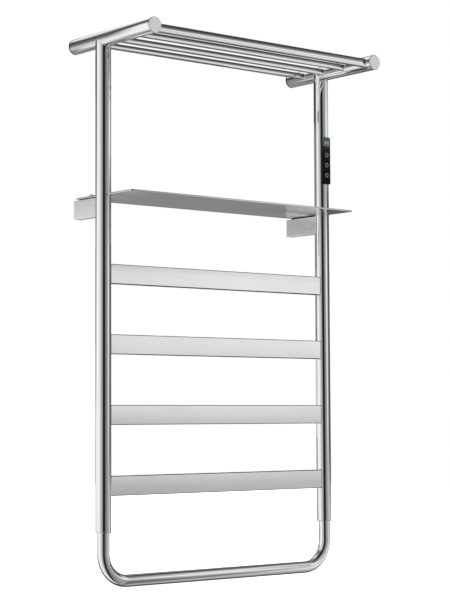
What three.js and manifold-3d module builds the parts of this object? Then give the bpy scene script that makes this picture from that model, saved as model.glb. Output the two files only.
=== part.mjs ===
// Wall-mounted electric towel warmer rack.
// Millimetres, +Z up, +Y into the wall. The origin lies on the wall plane, half way between the
// uprights, level with the middle of the two wall brackets.

import * as THREE from 'three';
import { mergeVertices } from 'three/addons/utils/BufferGeometryUtils.js';
import Module from 'manifold-3d';

const wasm = await Module();
wasm.setup();

// ---------------------------------------------------------------------------------------------
// Driving dimensions
// ---------------------------------------------------------------------------------------------

// Frame
const rackWidth = 550;            // outside of one upright to outside of the other
const wallStandoff = 88;          // wall plane to the plane of the uprights' axes
const topHeight = 297;            // axis of the side bars above the bracket centres
const uprightDiameter = 28;
const uprightWall = 1.2;
const uprightTail = 62;           // last rung's lower edge to the lower end of an upright
const uprightLift = 87;           // lower end of an upright above the lower rail's axis

// Side bars and towel rods of the top rack
const barDiameter = 28;
const barWall = 1.5;
const barReach = 152;             // uprights' plane to the front end of a side bar
const rodCount = 4;
const frontRodDiameter = 17;
const rodDiameter = 12;           // the rods behind the front one
const rodWall = 1;
const rodPitch = 57;
const rodFrontInset = 19;         // front end of a side bar to the front rod's axis
const capThickness = 3;
const capChamfer = 0.8;
const capPlugLength = 12;
const capPlugFit = 0.4;

// Flat rungs
const rungCount = 4;
const rungPitch = 124;
const rungHeight = 35;
const rungThickness = 14;
const rungWall = 1.2;
const rungEdgeRadius = 1.5;
const firstRungDrop = 102;        // top edge of the first rung below the bracket centres

// Lower rail
const railDiameter = 22;
const railWall = 1.2;
const railBendRadius = 50;
const railInsertion = 45;         // length of each leg inside its upright
const collarHeight = 20;
const collarLip = 1.6;            // flange that shows under the upright
const collarLipInset = 0.2;       // flange edge inside the upright's outside
const collarChamfer = 0.4;
const collarFit = 0.3;            // radial clearance of a collar on the rail and in the upright
const railLockRise = 10;          // rail lock screw above its collar

// Wall brackets
const bracketWidth = 16;
const bracketHeight = 34;
const bracketWall = 1.5;
const bracketEdgeRadius = 1.2;
const wallPlateThickness = 10;
const wallPlateFit = 0.3;
const wallScrewHole = 4.5;
const wallScrewPitch = 18;
const grubDiameter = 4;
const grubLength = 4;
const grubDepth = 5;              // grub screw's axis in front of the wall plane

// Shelf
const shelfThickness = 3;
const shelfOverhang = 2;          // side edge of the plate past the uprights' axes
const shelfReach = 86;            // uprights' plane to the front edge
const shelfWallGap = 10;          // back edge to the wall plane
const shelfFrontRadius = 5;
const shelfBackRadius = 3;
const shelfNotchFit = 0.5;
const padGap = 1.5;               // bracket top to the underside of the plate
const padWidth = 12;
const padEndGap = 1.5;            // from the upright and from the plate's back edge
const shelfScrewSetback = 44;     // behind the uprights' plane
const shelfScrewDiameter = 5;
const shelfScrewLength = 12;
const shelfScrewHeadDiameter = 9.5;
const shelfScrewHeadHeight = 3.6;
const shelfScrewHeadRim = 1.2;    // straight part of the head below its dome
const nutAcrossFlats = 8;
const nutHeight = 4;

// Control unit in the right upright
const controlWidth = 20;
const controlCentre = 125;        // centre of the control unit above the bracket centres
const controlProud = 1.5;         // fascia in front of the upright's front line
const controlCornerRadius = 2.5;
const fasciaThickness = 1.9;
const gasketThickness = 0.8;
const gasketWidth = 1.2;
const gasketInset = 0.2;          // gasket edge inside the fascia's edge
const housingWall = 1.5;
const housingBoreGap = 2;         // back of the housing to the upright's bore at its corners
const slotFit = 0.3;              // clearance of the housing in the upright's slot

const displayBorder = 3;          // fascia beside the display window
const displayHeight = 17;
const displayTopBorder = 6;       // fascia above the display window
const displayModuleDepth = 5;
const displayModuleMargin = 0.8;
const windowFit = 0.3;

const keyNames = ['power_key', 'timer_key', 'temperature_key'];
const keyDiameter = 9.2;
const keyPitch = 20;
const displayToKey = 12;          // display window's lower edge to the first key's axis
const keyBottomBorder = 17;       // last key's axis to the fascia's lower edge
const keyProud = 0.3;
const keyFit = 0.3;
const keyEdge = 0.4;              // chamfer round a key's face
const keyFlangeDiameter = 11.4;
const keyFlangeThickness = 0.8;
const keyStemDiameter = 3.2;
const keyTravel = 0.6;
const switchSide = 6;
const switchHeight = 3;
const switchDomeDiameter = 3;
const switchDomeHeight = 0.5;

const boardThickness = 1.2;
const boardFit = 0.5;             // board edges to the housing's walls
const boardSetback = 9.5;         // fascia front to the board's front face
const relayWidth = 10;
const relayHeight = 15;
const relayGap = 1.5;             // relay to the housing's back wall
const relayOffset = 12;           // relay's centre below the control unit's centre

// Heating cable and wiring
const heaterDiameter = 4.5;
const heaterBendRadius = 12;
const leadDiameter = 3.6;
const supplyDiameter = 5;
const supplyBendRadius = 10;
const supplyShift = 1;            // supply lead behind the heating cable's plane
const wireHoleFit = 1.5;          // added to a cable's diameter for the hole it passes through
const wireEntry = 5;              // length of each lead inside the control housing
const supplyInset = 2;            // end of the supply lead short of the wall plane
const spliceRise = 34;            // splice above the last rung's axis
const spliceLength = 24;
const spliceWall = 0.9;
const glandWall = 1;
const glandFlange = 1.4;
const glandFlangeWidth = 1.1;
const glandInset = 1;             // gland's outer end short of the wall plane
const sensorGap = 1;              // cut-out and sensor to the upright's bore
const cutoutDiameter = 7;
const cutoutLength = 16;
const cutoutHeight = 30;          // lower end above the bracket centres
const sensorDiameter = 4;
const sensorLength = 12;
const sensorHeight = 36;

// Fits and facets
const seamGap = 0.3;              // gap left at welded and seated joints
const leastRadius = 0.2;          // smallest inside corner of a rectangular tube
const roundSegments = 28;
const railSegments = 20;
const smallSegments = 12;
const wireSegments = 8;
const bendSteps = 6;
const wireBendSteps = 3;
const domeSteps = 3;

// ---------------------------------------------------------------------------------------------
// Values worked out from them
// ---------------------------------------------------------------------------------------------

const uprightRadius = uprightDiameter / 2;
const barRadius = barDiameter / 2;
const railRadius = railDiameter / 2;
const uprightX = rackWidth / 2 - uprightRadius;
const uprightBore = uprightRadius - uprightWall;

const bracketX = uprightX + shelfOverhang - bracketWidth / 2;
const bracketShift = bracketX - uprightX;
const bracketBoreWidth = bracketWidth - 2 * bracketWall;
const bracketBoreHeight = bracketHeight - 2 * bracketWall;
const shelfUnderside = bracketHeight / 2 + padGap;

const rungCentre = (index) => -firstRungDrop - rungHeight / 2 - index * rungPitch;
const uprightEnd = rungCentre(rungCount - 1) - rungHeight / 2 - uprightTail;
const railDrop = uprightLift - uprightEnd;
const railLockHeight = uprightEnd + collarHeight + railLockRise;
const rodY = (index) => rodFrontInset - barReach + index * rodPitch;

const keySpan = (keyNames.length - 1) * keyPitch;
const controlHeight = displayTopBorder + displayHeight + displayToKey + keySpan + keyBottomBorder;
const displayCentre = controlHeight / 2 - displayTopBorder - displayHeight / 2;
const firstKeyOffset = displayCentre - displayHeight / 2 - displayToKey;
const keyZ = (index) => controlCentre + firstKeyOffset - index * keyPitch;

const fasciaFront = -uprightRadius - controlProud;
const fasciaBack = fasciaFront + fasciaThickness;
const gasketFront = fasciaBack + seamGap;
const gasketBack = gasketFront + gasketThickness;
const housingFront = gasketBack + seamGap;
const housingBack = Math.sqrt(uprightBore ** 2 - (controlWidth / 2) ** 2) - housingBoreGap;
const housingDepth = housingBack - housingFront;
const housingBottom = controlCentre - controlHeight / 2;
const boardFront = fasciaFront + boardSetback;
const boardBack = boardFront + boardThickness;
const displayWidth = controlWidth - 2 * displayBorder;
const leadOffset = controlWidth / 2 - housingWall - supplyDiameter / 2;

const glandBore = supplyDiameter / 2 + seamGap;
const glandRadius = glandBore + glandWall;

const sides = [
  { label: 'left', sign: -1 },
  { label: 'right', sign: 1 },
];

// ---------------------------------------------------------------------------------------------
// Materials
// ---------------------------------------------------------------------------------------------

const finish = (color, roughness, metalness) => () =>
  new THREE.MeshStandardMaterial({ color, roughness, metalness });

const polishedSteel = finish(0xdfe1e4, 0.08, 1);
const satinSteel = finish(0xc6c8ca, 0.3, 1);
const zincPlated = finish(0xb9bcc0, 0.35, 1);
const blackGloss = finish(0x0b0c0e, 0.12, 0);
const blackPlastic = finish(0x17181a, 0.5, 0);
const blackRubber = finish(0x121212, 0.8, 0);
const smokedLens = finish(0x2c3a44, 0.06, 0);
const boardGreen = finish(0x1f5a38, 0.55, 0);
const paleSilicone = finish(0xd8d4cc, 0.6, 0);
const relayBlue = finish(0x27476e, 0.45, 0);

// ---------------------------------------------------------------------------------------------
// Geometry helpers
// ---------------------------------------------------------------------------------------------

function toSolid(geometry) {
  const bare = geometry.clone();
  bare.deleteAttribute('normal');
  bare.deleteAttribute('uv');
  const merged = mergeVertices(bare);
  return new wasm.Manifold(new wasm.Mesh({
    numProp: 3,
    vertProperties: new Float32Array(merged.attributes.position.array),
    triVerts: new Uint32Array(merged.index.array),
  }));
}

function toGeometry(solid) {
  const mesh = solid.getMesh();
  const geometry = new THREE.BufferGeometry();
  geometry.setAttribute('position', new THREE.BufferAttribute(mesh.vertProperties, 3));
  geometry.setIndex(new THREE.BufferAttribute(mesh.triVerts, 1));
  geometry.computeVertexNormals();
  return geometry;
}

// The first geometry with all the others taken out of it.
function cut(geometry, ...tools) {
  return toGeometry(tools.reduce((rest, tool) => rest.subtract(toSolid(tool)), toSolid(geometry)));
}

function join(geometry, ...others) {
  return toGeometry(others.reduce((sum, other) => sum.add(toSolid(other)), toSolid(geometry)));
}

function circle(radius, hole = 0) {
  const shape = new THREE.Shape().absarc(0, 0, radius, 0, 2 * Math.PI);
  if (hole > 0) shape.holes.push(new THREE.Path().absarc(0, 0, hole, 0, 2 * Math.PI));
  return shape;
}

function roundedRectangle(path, width, height, radius) {
  const x = width / 2 - radius;
  const y = height / 2 - radius;
  path.absarc(x, -y, radius, -Math.PI / 2, 0);
  path.absarc(x, y, radius, 0, Math.PI / 2);
  path.absarc(-x, y, radius, Math.PI / 2, Math.PI);
  path.absarc(-x, -y, radius, Math.PI, 1.5 * Math.PI);
  path.closePath();
  return path;
}

// A rounded rectangular frame of one wall thickness.
function rectangularTube(width, height, wall, radius) {
  const shape = roundedRectangle(new THREE.Shape(), width, height, radius);
  const innerRadius = Math.max(radius - wall, leastRadius);
  shape.holes.push(roundedRectangle(new THREE.Path(), width - 2 * wall, height - 2 * wall, innerRadius));
  return shape;
}

function prism(shape, length, segments) {
  return new THREE.ExtrudeGeometry(shape, {
    depth: length,
    bevelEnabled: false,
    curveSegments: segments,
  });
}

// Prisms along each axis, starting at 0. Along X the shape's y stays Y; along Y it becomes Z.
const alongZ = (shape, length, segments) => prism(shape, length, segments);
const alongY = (shape, length, segments) => prism(shape, length, segments)
  .rotateX(Math.PI / 2)
  .translate(0, length, 0);
const alongX = (shape, length, segments) => prism(shape, length, segments).rotateY(Math.PI / 2);

function rod(axis, radius, length, segments = roundSegments) {
  const geometry = new THREE.CylinderGeometry(radius, radius, length, segments);
  if (axis === 'x') geometry.rotateZ(Math.PI / 2);
  if (axis === 'z') geometry.rotateX(Math.PI / 2);
  return geometry;
}

// A profile of [radius, y] pairs turned about the Y axis, listed from low y to high y.
function turned(profile, segments) {
  const points = profile.map(([radius, y]) => new THREE.Vector2(radius, y));
  return new THREE.LatheGeometry(points, segments);
}

// A curve whose equal steps fall on a list of stations.
class StationPath extends THREE.Curve {
  constructor(stations) {
    super();
    this.stations = stations;
  }

  getPoint(t, target = new THREE.Vector3()) {
    const last = this.stations.length - 1;
    const place = Math.min(Math.max(t, 0), 1) * last;
    const index = Math.min(Math.floor(place), last - 1);
    return target.lerpVectors(this.stations[index], this.stations[index + 1], place - index);
  }

  getPointAt(u, target) {
    return this.getPoint(u, target);
  }

  getTangentAt(u, target) {
    return this.getTangent(u, target);
  }
}

// Stations along straight runs between corners, with every corner rounded to one radius.
function roundedRoute(corners, radius, steps) {
  const stations = [corners[0].clone()];
  for (let i = 1; i < corners.length - 1; i += 1) {
    const arriving = corners[i].clone().sub(corners[i - 1]).normalize();
    const leaving = corners[i + 1].clone().sub(corners[i]).normalize();
    const turn = arriving.angleTo(leaving);
    const start = corners[i].clone().addScaledVector(arriving, -radius * Math.tan(turn / 2));
    const inward = leaving.clone().addScaledVector(arriving, -arriving.dot(leaving)).normalize();
    for (let step = 0; step <= steps; step += 1) {
      const angle = turn * step / steps;
      const point = start.clone();
      point.addScaledVector(arriving, radius * Math.sin(angle));
      point.addScaledVector(inward, radius * (1 - Math.cos(angle)));
      stations.push(point);
    }
  }
  stations.push(corners[corners.length - 1].clone());
  return stations;
}

function sweep(section, stations, segments) {
  return new THREE.ExtrudeGeometry(section, {
    steps: stations.length - 1,
    extrudePath: new StationPath(stations),
    curveSegments: segments,
  });
}

const rack = new THREE.Group();
rack.position.y = -wallStandoff;

function place(name, geometry, material, x = 0, y = 0, z = 0) {
  const mesh = new THREE.Mesh(geometry, material());
  mesh.name = name;
  mesh.position.set(x, y, z);
  rack.add(mesh);
  return mesh;
}

// ---------------------------------------------------------------------------------------------
// Frame: uprights, side bars, rods, rungs and lower rail. Y = 0 is the uprights' plane here.
// ---------------------------------------------------------------------------------------------

// Cylinder that copes a piece to an upright, about Z.
const uprightCope = (length) => rod('z', uprightRadius + seamGap, length);

function uprightGeometry(sign) {
  const length = topHeight - uprightEnd;
  const tube = alongZ(circle(uprightRadius, uprightBore), length, roundSegments / 2);
  tube.translate(0, 0, uprightEnd);

  const cope = rod('y', barRadius + seamGap, 2 * barDiameter).translate(0, 0, topHeight);
  const cuts = [cope];

  for (let index = 0; index < rungCount; index += 1) {
    const hole = rod('x', (heaterDiameter + wireHoleFit) / 2, uprightDiameter, smallSegments);
    cuts.push(hole.translate(-sign * uprightRadius, 0, rungCentre(index)));
  }

  const lock = rod('y', grubDiameter / 2 + seamGap, uprightRadius, smallSegments);
  cuts.push(lock.translate(0, uprightRadius, railLockHeight));

  if (sign > 0) {
    const width = controlWidth + 2 * slotFit;
    const height = controlHeight + 2 * slotFit;
    const slot = new THREE.BoxGeometry(width, uprightDiameter, height);
    cuts.push(slot.translate(0, -uprightRadius, controlCentre));
    const inlet = rod('y', (supplyDiameter + wireHoleFit) / 2, uprightRadius, smallSegments);
    cuts.push(inlet.translate(bracketShift, uprightRadius, 0));
  }
  return cut(tube, ...cuts);
}

function addUprights() {
  for (const { label, sign } of sides) {
    place(`${label}_upright`, uprightGeometry(sign), polishedSteel, sign * uprightX);
  }
}

function addSideBars() {
  const tubeLength = barReach + wallStandoff - 2 * capThickness - 2 * seamGap;
  const tubeFront = capThickness + seamGap - barReach;
  const plugRadius = barRadius - barWall - capPlugFit;
  const cap = turned([
    [0, 0],
    [barRadius - capChamfer, 0],
    [barRadius, capChamfer],
    [barRadius, capThickness],
    [plugRadius, capThickness],
    [plugRadius, capThickness + capPlugLength],
    [0, capThickness + capPlugLength],
  ], roundSegments);

  for (const { label, sign } of sides) {
    const tube = alongY(circle(barRadius, barRadius - barWall), tubeLength, roundSegments / 2);
    const x = sign * uprightX;
    place(`${label}_side_bar`, tube, polishedSteel, x, tubeFront, topHeight);
    place(`${label}_front_cap`, cap, polishedSteel, x, -barReach, topHeight);
    const wallCap = place(`${label}_wall_cap`, cap, blackRubber, x, wallStandoff, topHeight);
    wallCap.rotation.z = Math.PI;
  }
}

function addTowelRods() {
  const length = 2 * uprightX;
  for (let index = 0; index < rodCount; index += 1) {
    const diameter = index === 0 ? frontRodDiameter : rodDiameter;
    const section = circle(diameter / 2, diameter / 2 - rodWall);
    const blank = alongX(section, length, smallSegments / 2).translate(-uprightX, 0, 0);
    const copes = sides.flatMap(({ sign }) => [
      rod('y', barRadius + seamGap, 4 * diameter).translate(sign * uprightX, 0, 0),
      uprightCope(4 * diameter).translate(sign * uprightX, -rodY(index), 0),
    ]);
    const name = `towel_rod_${index + 1}`;
    place(name, cut(blank, ...copes), polishedSteel, 0, rodY(index), topHeight);
  }
}

function addRungs() {
  const section = rectangularTube(rungHeight, rungThickness, rungWall, rungEdgeRadius);
  const blank = alongX(section, 2 * uprightX, 3).translate(-uprightX, 0, 0);
  const copes = sides.map(({ sign }) =>
    uprightCope(2 * rungHeight).translate(sign * uprightX, 0, 0));
  const geometry = cut(blank, ...copes);
  for (let index = 0; index < rungCount; index += 1) {
    place(`rung_${index + 1}`, geometry, satinSteel, 0, 0, rungCentre(index));
  }
}

function addLowerRail() {
  const legTop = uprightEnd + railInsertion;
  const corners = [
    new THREE.Vector3(-uprightX, 0, legTop),
    new THREE.Vector3(-uprightX, 0, -railDrop),
    new THREE.Vector3(uprightX, 0, -railDrop),
    new THREE.Vector3(uprightX, 0, legTop),
  ];
  const stations = roundedRoute(corners, railBendRadius, bendSteps);
  const section = circle(railRadius, railRadius - railWall);
  place('lower_rail', sweep(section, stations, railSegments / 2), polishedSteel);

  const sleeveOuter = uprightBore - collarFit;
  const sleeveInner = railRadius + collarFit;
  const lipRadius = uprightRadius - collarLipInset;
  const collar = turned([
    [sleeveInner, -collarLip],
    [lipRadius - collarChamfer, -collarLip],
    [lipRadius, collarChamfer - collarLip],
    [lipRadius, -seamGap],
    [sleeveOuter, -seamGap],
    [sleeveOuter, collarHeight],
    [sleeveInner, collarHeight],
    [sleeveInner, -collarLip],
  ], roundSegments).rotateX(Math.PI / 2);

  const lockLength = uprightRadius - railRadius - seamGap;
  const lock = rod('y', grubDiameter / 2, lockLength, smallSegments);
  for (const { label, sign } of sides) {
    const x = sign * uprightX;
    place(`${label}_rail_collar`, collar, polishedSteel, x, 0, uprightEnd);
    const y = railRadius + seamGap + lockLength / 2;
    place(`${label}_rail_lock_screw`, lock, zincPlated, x, y, railLockHeight);
  }
}

// ---------------------------------------------------------------------------------------------
// Wall brackets
// ---------------------------------------------------------------------------------------------

function bracketShell(sign) {
  const section = rectangularTube(bracketWidth, bracketHeight, bracketWall, bracketEdgeRadius);
  const tube = alongY(section, wallStandoff, 3);
  const screw = rod('z', shelfScrewDiameter / 2 + seamGap, bracketHeight, smallSegments);
  const grub = rod('z', grubDiameter / 2 + seamGap, bracketHeight, smallSegments);
  return cut(
    tube,
    uprightCope(2 * bracketHeight).translate(-sign * bracketShift, 0, 0),
    screw.translate(0, shelfScrewSetback, bracketHeight / 2),
    grub.translate(0, wallStandoff - grubDepth, -bracketHeight / 2),
  );
}

function wallPlate(hasCable) {
  const width = bracketBoreWidth - 2 * wallPlateFit;
  const height = bracketBoreHeight - 2 * wallPlateFit;
  const block = new THREE.BoxGeometry(width, wallPlateThickness, height);
  block.translate(0, -wallPlateThickness / 2, 0);
  const cuts = [-1, 1].map((sign) =>
    rod('y', wallScrewHole / 2, 3 * wallPlateThickness, smallSegments)
      .translate(0, 0, sign * wallScrewPitch / 2));
  const grubTop = grubLength - bracketHeight / 2;
  const grub = rod('z', grubDiameter / 2 + seamGap, bracketHeight, smallSegments);
  cuts.push(grub.translate(0, -grubDepth, grubTop + 2 * seamGap - bracketHeight / 2));
  if (hasCable) {
    cuts.push(rod('y', glandRadius + seamGap, 3 * wallPlateThickness, smallSegments));
  }
  return cut(block, ...cuts);
}

function addBrackets() {
  const grub = rod('z', grubDiameter / 2, grubLength, smallSegments);
  for (const { label, sign } of sides) {
    const x = sign * bracketX;
    place(`${label}_bracket`, bracketShell(sign), satinSteel, x);
    place(`${label}_wall_plate`, wallPlate(sign > 0), zincPlated, x, wallStandoff);
    const z = (grubLength - bracketHeight) / 2 + seamGap;
    place(`${label}_bracket_grub_screw`, grub, zincPlated, x, wallStandoff - grubDepth, z);
  }
}

// ---------------------------------------------------------------------------------------------
// Shelf
// ---------------------------------------------------------------------------------------------

function shelfOutline() {
  const side = uprightX + shelfOverhang;
  const front = -shelfReach;
  const back = wallStandoff - shelfWallGap;
  const shape = new THREE.Shape();
  const halfPi = Math.PI / 2;
  shape.absarc(side - shelfFrontRadius, front + shelfFrontRadius, shelfFrontRadius, -halfPi, 0);
  shape.absarc(side - shelfBackRadius, back - shelfBackRadius, shelfBackRadius, 0, halfPi);
  shape.absarc(shelfBackRadius - side, back - shelfBackRadius, shelfBackRadius, halfPi, Math.PI);
  shape.absarc(shelfFrontRadius - side, front + shelfFrontRadius, shelfFrontRadius, Math.PI, 3 * halfPi);
  shape.closePath();
  return shape;
}

function addShelf() {
  const tools = [];
  for (const { sign } of sides) {
    const notch = rod('z', uprightRadius + shelfNotchFit, 4 * shelfThickness);
    tools.push(notch.translate(sign * uprightX, 0, 0));
    const hole = rod('z', shelfScrewDiameter / 2 + seamGap, 4 * shelfThickness, smallSegments);
    tools.push(hole.translate(sign * bracketX, shelfScrewSetback, 0));
  }
  const plate = cut(alongZ(shelfOutline(), shelfThickness, 6), ...tools);
  place('shelf_plate', plate, satinSteel, 0, 0, shelfUnderside);

  const padFront = uprightRadius + padEndGap;
  const padBack = wallStandoff - shelfWallGap - padEndGap;
  const padBody = new THREE.BoxGeometry(padWidth, padBack - padFront, padGap - 2 * seamGap);
  padBody.translate(0, (padFront + padBack) / 2 - shelfScrewSetback, 0);
  const padHole = rod('z', shelfScrewDiameter / 2 + seamGap, 4 * padGap, smallSegments);
  const pad = cut(padBody, padHole);

  const headRadius = shelfScrewHeadDiameter / 2;
  const domeRise = shelfScrewHeadHeight - shelfScrewHeadRim;
  const dome = [];
  for (let step = 0; step < domeSteps; step += 1) {
    const angle = (Math.PI / 2) * step / domeSteps;
    dome.push([headRadius * Math.cos(angle), shelfScrewHeadRim + domeRise * Math.sin(angle)]);
  }
  const screw = turned([
    [0, -shelfScrewLength],
    [shelfScrewDiameter / 2, -shelfScrewLength],
    [shelfScrewDiameter / 2, 0],
    [headRadius, 0],
    ...dome,
    [0, shelfScrewHeadHeight],
  ], smallSegments).rotateX(Math.PI / 2);

  const nutBlank = rod('z', nutAcrossFlats / Math.sqrt(3), nutHeight, 6);
  const nut = cut(nutBlank, rod('z', shelfScrewDiameter / 2 + seamGap, 2 * nutHeight, smallSegments));

  const plateTop = shelfUnderside + shelfThickness;
  const boreTop = bracketHeight / 2 - bracketWall;
  for (const { label, sign } of sides) {
    const x = sign * bracketX;
    const y = shelfScrewSetback;
    place(`${label}_shelf_pad`, pad, blackRubber, x, y, bracketHeight / 2 + padGap / 2);
    place(`${label}_shelf_screw`, screw, polishedSteel, x, y, plateTop + seamGap);
    place(`${label}_shelf_nut`, nut, zincPlated, x, y, boreTop - seamGap - nutHeight / 2);
  }
}

// ---------------------------------------------------------------------------------------------
// Control unit. Its front faces -Y and its pieces stack back into the right upright.
// ---------------------------------------------------------------------------------------------

function frontPanel(width, height, radius) {
  return roundedRectangle(new THREE.Shape(), width, height, radius);
}

function addControlUnit() {
  const x = uprightX;

  // Fascia with the display window and one round hole for each key.
  const fasciaShape = frontPanel(controlWidth, controlHeight, controlCornerRadius);
  const windowAt = new THREE.BoxGeometry(displayWidth, 4 * fasciaThickness, displayHeight);
  windowAt.translate(0, 0, displayCentre);
  const fasciaCuts = [windowAt];
  keyNames.forEach((name, index) => {
    const hole = rod('y', keyDiameter / 2 + keyFit, 4 * fasciaThickness, roundSegments);
    fasciaCuts.push(hole.translate(0, 0, keyZ(index) - controlCentre));
  });
  const fascia = cut(alongY(fasciaShape, fasciaThickness, 4), ...fasciaCuts);
  place('control_fascia', fascia, blackGloss, x, fasciaFront, controlCentre);

  const lensWidth = displayWidth - 2 * windowFit;
  const lensHeight = displayHeight - 2 * windowFit;
  const lens = new THREE.BoxGeometry(lensWidth, fasciaThickness, lensHeight);
  const lensZ = controlCentre + displayCentre;
  place('display_window', lens, smokedLens, x, fasciaFront + fasciaThickness / 2, lensZ);

  // Gasket and housing.
  const gasketSection = rectangularTube(
    controlWidth - 2 * gasketInset,
    controlHeight - 2 * gasketInset,
    gasketWidth,
    controlCornerRadius,
  );
  place('control_gasket', alongY(gasketSection, gasketThickness, 4), blackRubber,
    x, gasketFront, controlCentre);

  const body = alongY(frontPanel(controlWidth, controlHeight, controlCornerRadius), housingDepth, 4);
  const inside = new THREE.BoxGeometry(
    controlWidth - 2 * housingWall,
    housingDepth,
    controlHeight - 2 * housingWall,
  ).translate(0, housingDepth / 2 - housingWall, 0);
  const entries = wireEntries().map(({ dx, y, diameter }) =>
    rod('z', (diameter + wireHoleFit) / 2, 2 * (wireEntry + housingWall), smallSegments)
      .translate(dx, y - housingFront, -controlHeight / 2));
  place('control_housing', cut(body, inside, ...entries), blackPlastic,
    x, housingFront, controlCentre);

  // Circuit board with the display, key switches and relay.
  const boardMargin = 2 * (housingWall + boardFit);
  const board = new THREE.BoxGeometry(
    controlWidth - boardMargin,
    boardThickness,
    controlHeight - boardMargin,
  );
  place('control_board', board, boardGreen, x, boardFront + boardThickness / 2, controlCentre);

  const module = new THREE.BoxGeometry(
    displayWidth + displayModuleMargin,
    displayModuleDepth,
    displayHeight + displayModuleMargin,
  );
  place('display_module', module, blackPlastic,
    x, boardFront - seamGap - displayModuleDepth / 2, lensZ);

  const relayFront = boardBack + seamGap;
  const relayDepth = housingBack - housingWall - relayGap - relayFront;
  const relay = new THREE.BoxGeometry(relayWidth, relayDepth, relayHeight);
  place('power_relay', relay, relayBlue,
    x, relayFront + relayDepth / 2, controlCentre - relayOffset);

  // Keys. A key's local origin is the centre of its front face.
  const switchBack = boardFront - seamGap;
  const switchTop = switchBack - switchHeight - switchDomeHeight;
  const stemEnd = switchTop - keyTravel - seamGap;
  const keyFront = fasciaFront - keyProud;
  const flangeFront = fasciaBack + seamGap - keyFront;
  const key = turned([
    [0, 0],
    [keyDiameter / 2 - keyEdge, 0],
    [keyDiameter / 2, keyEdge],
    [keyDiameter / 2, flangeFront],
    [keyFlangeDiameter / 2, flangeFront],
    [keyFlangeDiameter / 2, flangeFront + keyFlangeThickness],
    [keyStemDiameter / 2, flangeFront + keyFlangeThickness],
    [keyStemDiameter / 2, stemEnd - keyFront],
    [0, stemEnd - keyFront],
  ], roundSegments);

  const switchBody = new THREE.BoxGeometry(switchSide, switchHeight, switchSide);
  switchBody.translate(0, -switchHeight / 2, 0);
  const dome = rod('y', switchDomeDiameter / 2, 2 * switchDomeHeight, smallSegments);
  const keySwitch = join(switchBody, dome.translate(0, -switchHeight, 0));
  keyNames.forEach((name, index) => {
    place(name, key, blackGloss, x, keyFront, keyZ(index));
    place(`${name}_switch`, keySwitch, blackPlastic, x, switchBack, keyZ(index));
  });
}

// ---------------------------------------------------------------------------------------------
// Heating cable and wiring inside the tubes
// ---------------------------------------------------------------------------------------------

// Where each lead passes the bottom of the control housing, beside the upright's axis.
function wireEntries() {
  return [
    { dx: 0, y: 0, diameter: heaterDiameter },
    { dx: leadOffset, y: 0, diameter: leadDiameter },
    { dx: bracketShift, y: supplyShift, diameter: supplyDiameter },
  ];
}

function addWiring() {
  const entryTop = housingBottom + wireEntry;

  // The heating cable zigzags through the rungs and turns up to its splice in the right upright.
  const corners = [new THREE.Vector3(uprightX, 0, entryTop)];
  let side = 1;
  for (let index = 0; index < rungCount; index += 1) {
    corners.push(new THREE.Vector3(side * uprightX, 0, rungCentre(index)));
    side = -side;
    corners.push(new THREE.Vector3(side * uprightX, 0, rungCentre(index)));
  }
  const spliceZ = rungCentre(rungCount - 1) + spliceRise;
  corners.push(new THREE.Vector3(side * uprightX, 0, spliceZ));
  const heaterRoute = roundedRoute(corners, heaterBendRadius, wireBendSteps);
  place('heating_cable', sweep(circle(heaterDiameter / 2), heaterRoute, wireSegments / 2), paleSilicone);

  const spliceBore = heaterDiameter / 2 + seamGap;
  const splice = alongZ(circle(spliceBore + spliceWall, spliceBore), spliceLength, smallSegments / 2);
  place('splice_sleeve', splice, blackPlastic, side * uprightX, 0, spliceZ - spliceLength / 2);

  // The return lead leaves the splice and climbs beside the heating cable.
  const leadStart = spliceZ + seamGap;
  const stepStart = spliceZ + spliceLength;
  const leadX = uprightX + leadOffset;
  const leadRoute = roundedRoute([
    new THREE.Vector3(uprightX, 0, leadStart),
    new THREE.Vector3(uprightX, 0, stepStart),
    new THREE.Vector3(leadX, 0, stepStart + 3 * leadOffset),
    new THREE.Vector3(leadX, 0, entryTop),
  ], heaterBendRadius, wireBendSteps);
  place('return_lead', sweep(circle(leadDiameter / 2), leadRoute, wireSegments / 2), paleSilicone);

  // The supply lead runs from the gland through the right bracket and up to the control unit.
  const glandLength = wallPlateThickness + glandFlange - glandInset;
  const glandEnd = wallStandoff - glandInset;
  const supplyRoute = roundedRoute([
    new THREE.Vector3(bracketX, wallStandoff - supplyInset, 0),
    new THREE.Vector3(bracketX, supplyShift, 0),
    new THREE.Vector3(bracketX, supplyShift, entryTop),
  ], supplyBendRadius, wireBendSteps);
  place('supply_lead', sweep(circle(supplyDiameter / 2), supplyRoute, wireSegments / 2), blackRubber);

  const gland = turned([
    [glandBore, 0],
    [glandRadius + glandFlangeWidth, 0],
    [glandRadius + glandFlangeWidth, glandFlange - seamGap],
    [glandRadius, glandFlange - seamGap],
    [glandRadius, glandLength],
    [glandBore, glandLength],
    [glandBore, 0],
  ], smallSegments);
  place('cable_gland', gland, blackRubber, bracketX, glandEnd - glandLength, 0);

  // Thermal cut-out and temperature sensor against the bore of the right upright.
  const cutoutY = cutoutDiameter / 2 + sensorGap - uprightBore;
  const cutout = rod('z', cutoutDiameter / 2, cutoutLength, smallSegments);
  place('thermal_cutout', cutout, zincPlated, uprightX, cutoutY, cutoutHeight + cutoutLength / 2);
  const sensorY = uprightBore - sensorDiameter / 2 - sensorGap;
  const sensor = rod('z', sensorDiameter / 2, sensorLength, smallSegments);
  place('temperature_sensor', sensor, paleSilicone,
    uprightX, sensorY, sensorHeight + sensorLength / 2);
}

addUprights();
addSideBars();
addTowelRods();
addRungs();
addLowerRail();
addBrackets();
addShelf();
addControlUnit();
addWiring();

export default rack;
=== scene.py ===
"""Looks of the wall-hung towel warmer rack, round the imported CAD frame. Metres, +Z up, wall at Y = 0."""

import math

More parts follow.
